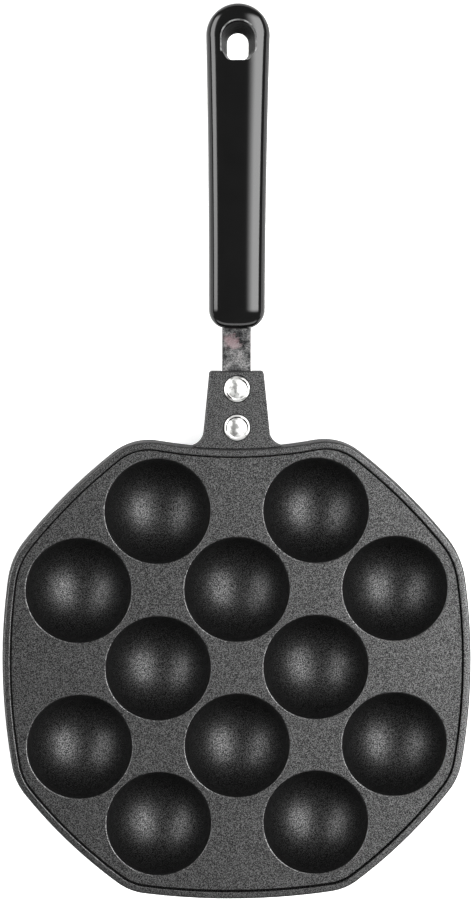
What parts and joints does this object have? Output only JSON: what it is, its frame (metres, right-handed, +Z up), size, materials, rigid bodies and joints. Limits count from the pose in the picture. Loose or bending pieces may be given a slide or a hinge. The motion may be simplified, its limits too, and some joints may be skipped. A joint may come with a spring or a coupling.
{
  "type": "takoyaki pan",
  "caption": "Stove-top takoyaki pan: cast octagonal plate with round cups in a staggered grid, raised rim and a riveted strap handle with an oval grip and arched hang hole.",
  "frame": {"origin": "bottom centre of the whole pan: on the plane that the cups' flats stand on, half-way along its length", "axes": "+Z up out of the cups, +Y from the plate towards the end of the handle, +X across"},
  "size_m": [0.181, 0.3443, 0.0439],
  "materials": {
    "pan_coating": "cast aluminium with a dark grey speckled non-stick coat",
    "rivet_aluminium": "bright, pressed",
    "strap_steel": "nickel plated",
    "grip_phenolic": "black phenolic, polished",
    "screw_steel": "zinc plated"
  },
  "bodies": {
    "root": {"pan_body": "pan_coating", "front_rivet": "rivet_aluminium", "rear_rivet": "rivet_aluminium", "handle_strap": "strap_steel", "handle_grip": "grip_phenolic", "grip_screw": "screw_steel"}
  },
  "joints": []
}
